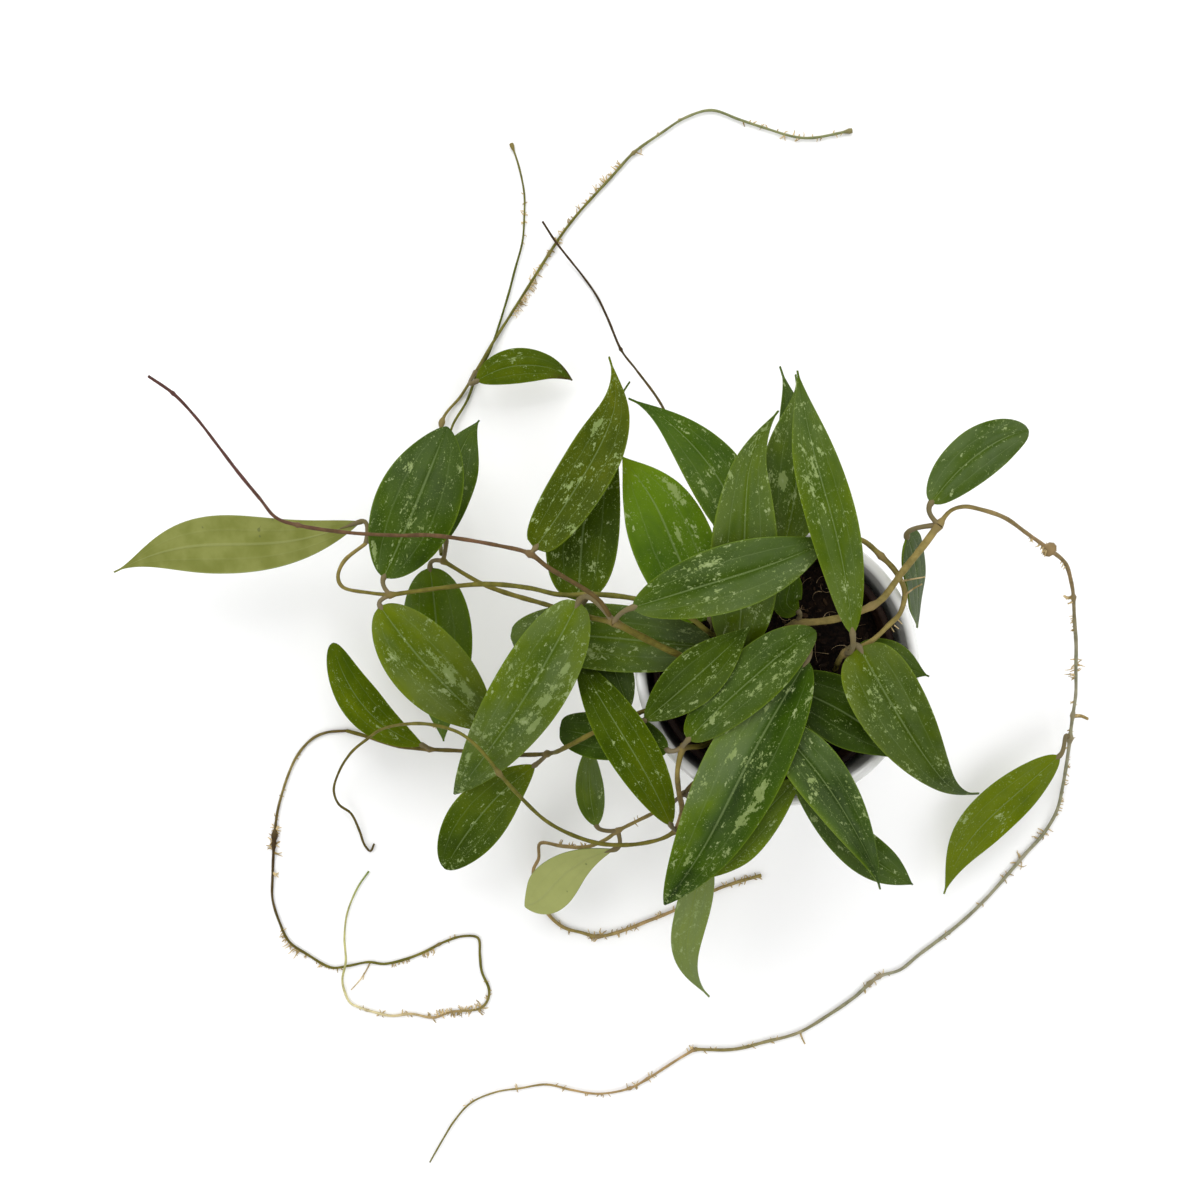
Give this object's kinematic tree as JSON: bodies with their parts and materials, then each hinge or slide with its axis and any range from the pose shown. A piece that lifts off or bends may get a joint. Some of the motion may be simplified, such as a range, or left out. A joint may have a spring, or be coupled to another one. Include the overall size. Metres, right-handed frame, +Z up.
{
  "type": "potted trailing plant",
  "caption": "Trailing hoya with pointed three-veined, silver-flecked leaves and long bare runners, growing in a nursery pot that stands inside a round white ceramic cover pot.",
  "frame": {"origin": "centre of the cover pot's flat underside, on the surface the pot stands on", "axes": "+Z is up, out of the pot. +Y runs towards the longest bare runners, along the longest side of the plant's box; +X is square to it, from the hanging leaves over the pot. Metres."},
  "size_m": [0.4997, 0.5693, 0.1661],
  "materials": {
    "cover_pot_glaze": "smooth white gloss glaze",
    "nursery_plastic": "thin dark brown plastic, satin",
    "soil": null,
    "stem_olive": null,
    "stem_grey_green": null,
    "stem_purple": null,
    "stem_brown": null,
    "leaf_underside": null,
    "leaf_green": null,
    "leaf_bright": null
  },
  "bodies": {
    "root": {"cover_pot": "cover_pot_glaze", "nursery_pot": "nursery_plastic", "soil": "soil", "vine_west": "stem_olive", "vine_north": "stem_grey_green", "shoot_purple": "stem_purple", "vine_loop": "stem_olive", "shoot_north": "stem_grey_green", "vine_east": "stem_olive", "vine_east_back": "stem_olive", "vine_south_west": "stem_brown", "vine_south": "stem_olive", "vine_low_south": "stem_brown", "crown_stem_middle": "stem_olive", "crown_stem_south": "stem_olive", "leaf_pale_west": "leaf_underside", "leaf_round_west": "leaf_green", "leaf_behind_round": "leaf_green", "leaf_yellow_west": "leaf_green", "leaf_dark_west": "leaf_green", "leaf_small_north": "leaf_green", "leaf_grey_long": "leaf_green", "leaf_olive_north": "leaf_green", "leaf_olive_behind": "leaf_green", "leaf_bright_north": "leaf_bright", "leaf_north_tip": "leaf_green", "leaf_top": "leaf_green", "leaf_upright": "leaf_green", "leaf_crest_back": "leaf_green", "leaf_crest_wide": "leaf_green", "leaf_crest_front": "leaf_green", "leaf_small_inner": "leaf_green", "leaf_hanging_east": "leaf_green", "leaf_raised_east": "leaf_green", "leaf_far_east": "leaf_green", "leaf_east": "leaf_green", "leaf_east_under": "leaf_green", "leaf_dark_inner": "leaf_green", "leaf_glossy_centre": "leaf_green", "leaf_centre": "leaf_green", "leaf_blunt_dark": "leaf_green", "leaf_slim_south": "leaf_bright", "leaf_tucked_west": "leaf_green", "leaf_cross_west": "leaf_green", "leaf_notched_south": "leaf_green", "leaf_bright_west": "leaf_bright", "leaf_largest": "leaf_green", "leaf_small_south": "leaf_green", "leaf_pale_south": "leaf_underside", "leaf_wavy_south": "leaf_green", "leaf_bright_south": "leaf_bright", "leaf_dark_south": "leaf_green", "leaf_south_behind": "leaf_green"}
  },
  "joints": []
}
